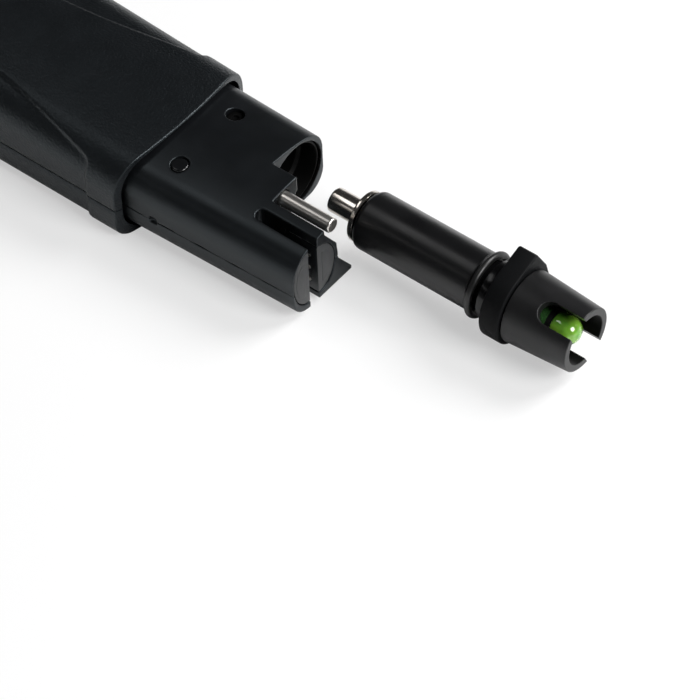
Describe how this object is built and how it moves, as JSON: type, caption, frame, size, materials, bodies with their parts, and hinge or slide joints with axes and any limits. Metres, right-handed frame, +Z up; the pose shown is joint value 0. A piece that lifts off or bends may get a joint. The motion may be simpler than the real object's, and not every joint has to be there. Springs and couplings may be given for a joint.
{
  "type": "water quality probe",
  "caption": "Handheld water quality tester lying on its front, with a slotted conductivity cell, a temperature rod and a plug-in glass electrode pulled out of its socket.",
  "frame": {"origin": "on the surface that the tester lies on, under the middle of the tester and the pulled-out electrode together", "axes": "+X from the battery end towards the probe end and the electrode, +Y across towards the socket side, +Z up from the tester's front face to its back"},
  "size_m": [0.2144, 0.04, 0.026],
  "materials": {
    "shell_black": "fine textured matte",
    "housing_black": "satin",
    "insert_grey": "satin",
    "tube_black": "satin",
    "rubber_black": "matte",
    "nickel": "polished nickel",
    "steel": "fine turned",
    "brass": "satin",
    "board_green": "solder mask",
    "chip_black": "moulded",
    "display_glass": "smooth",
    "clear_glass": "clear",
    "bulb_green": "bright translucent green",
    "gel": "gel",
    "wick_white": "woven wick",
    "key_grey": "matte",
    "overlay_grey": "satin film",
    "lead_red": "insulation"
  },
  "bodies": {
    "tester": {"back_shell": "shell_black", "front_shell": "shell_black", "probe_housing_back": "housing_black", "probe_housing_front": "housing_black", "housing_screw_plug": "housing_black", "cell_insert_outer": "insert_grey", "cell_insert_inner": "insert_grey", "socket_sleeve": "tube_black", "display_strip_left": "rubber_black", "display_strip_right": "rubber_black", "battery_contact_left": "nickel", "battery_contact_right": "nickel", "housing_screw": "steel", "socket_set_screw": "steel", "temperature_rod": "steel", "cell_pin_1": "steel", "cell_pin_2": "steel", "cell_pin_3": "steel", "board_screw_1": "steel", "board_screw_2": "steel", "button_cell_1": "steel", "button_cell_2": "steel", "button_cell_3": "steel", "button_cell_4": "steel", "socket_centre_contact": "brass", "socket_ring_contact": "brass", "main_board": "board_green", "microcontroller": "chip_black", "amplifier_chip": "chip_black", "switch_left": "chip_black", "switch_right": "chip_black", "battery_tray": "chip_black", "display_module": "display_glass", "display_window": "clear_glass", "front_overlay": "overlay_grey", "socket_lead": "lead_red", "cell_lead": "lead_red"},
    "seal_ring": {"electrode_o_ring": "rubber_black"},
    "electrode": {"contact_pin": "nickel", "contact_ring": "nickel", "contact_insulator": "chip_black", "electrode_tube": "tube_black", "lock_collar": "tube_black", "guard_sleeve": "tube_black", "glass_bulb": "clear_glass", "bulb_fill": "bulb_green", "glass_stem": "clear_glass", "inner_wire": "steel", "gel_fill": "gel", "seal_plug": "rubber_black", "junction_wick": "wick_white"},
    "left_button": {"button_left": "key_grey"},
    "right_button": {"button_right": "key_grey"},
    "cover": {"battery_cover": "shell_black", "cover_gasket": "rubber_black", "cover_screw_1": "steel", "cover_screw_2": "steel", "cover_screw_3": "steel", "cover_screw_4": "steel"}
  },
  "joints": [
    {"name": "electrode_insert", "type": "slide", "parent": "tester", "child": "seal_ring", "axis": [-1, 0, 0], "range_m": [0, 0.0515]},
    {"name": "electrode_twist", "type": "hinge", "parent": "seal_ring", "child": "electrode", "pos_m": [0.04595, 0.00816, 0.00945], "axis": [-1, 0, 0], "range_deg": [0, 90]},
    {"name": "button_left_press", "type": "slide", "parent": "tester", "child": "left_button", "axis": [0, 0, 1], "range_m": [0, 0.0005], "stiffness_N_per_m": 400},
    {"name": "button_right_press", "type": "slide", "parent": "tester", "child": "right_button", "axis": [0, 0, 1], "range_m": [0, 0.0005], "stiffness_N_per_m": 400},
    {"name": "battery_cover_pull", "type": "slide", "parent": "tester", "child": "cover", "axis": [-1, 0, 0], "range_m": [0, 0.03]}
  ]
}
